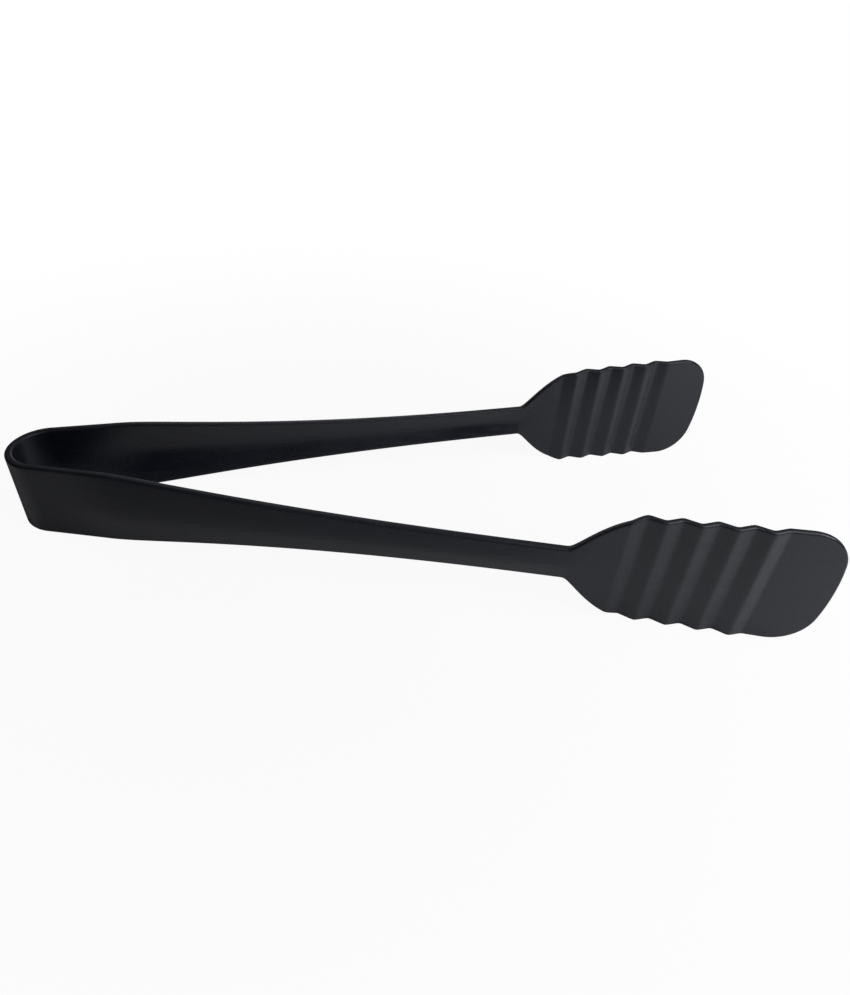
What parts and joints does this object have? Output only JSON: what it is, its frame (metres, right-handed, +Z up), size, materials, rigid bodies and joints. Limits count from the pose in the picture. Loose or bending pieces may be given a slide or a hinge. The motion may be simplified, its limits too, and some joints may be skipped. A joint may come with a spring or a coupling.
{
  "type": "kitchen tongs",
  "caption": "Moulded kitchen tongs: a U-shaped bow spring, dished tapering arms and broad corrugated gripping heads.",
  "frame": {"origin": "on the ground under the middle of the tongs as they stand on their lower rims", "axes": "+X from the bow towards the tips, +Y from the right arm to the left arm, +Z up along the width of the strap"},
  "size_m": [0.3049, 0.1338, 0.0525],
  "materials": {
    "strap_nylon": "satin moulded",
    "head_nylon": "fine matte moulded"
  },
  "bodies": {
    "bow": {"spring_bow": "strap_nylon"},
    "left_jaw": {"left_shoulder": "strap_nylon", "left_arm": "strap_nylon", "left_neck": "head_nylon", "left_head": "head_nylon"},
    "right_jaw": {"right_shoulder": "strap_nylon", "right_arm": "strap_nylon", "right_neck": "head_nylon", "right_head": "head_nylon"}
  },
  "joints": [
    {"name": "left_squeeze", "type": "hinge", "parent": "bow", "child": "left_jaw", "pos_m": [-0.14633, 0.00741, 0.01567], "axis": [0.0375, 0, -0.9993], "range_deg": [0, 12.2], "stiffness_Nm_per_rad": 2.5},
    {"name": "right_squeeze", "type": "hinge", "parent": "bow", "child": "right_jaw", "pos_m": [-0.14633, -0.00741, 0.01567], "axis": [-0.0375, 0, 0.9993], "range_deg": [0, 12.2], "stiffness_Nm_per_rad": 2.5}
  ],
  "couplings": [
    {"joint": "right_squeeze", "follows": "left_squeeze", "ratio": 1}
  ]
}
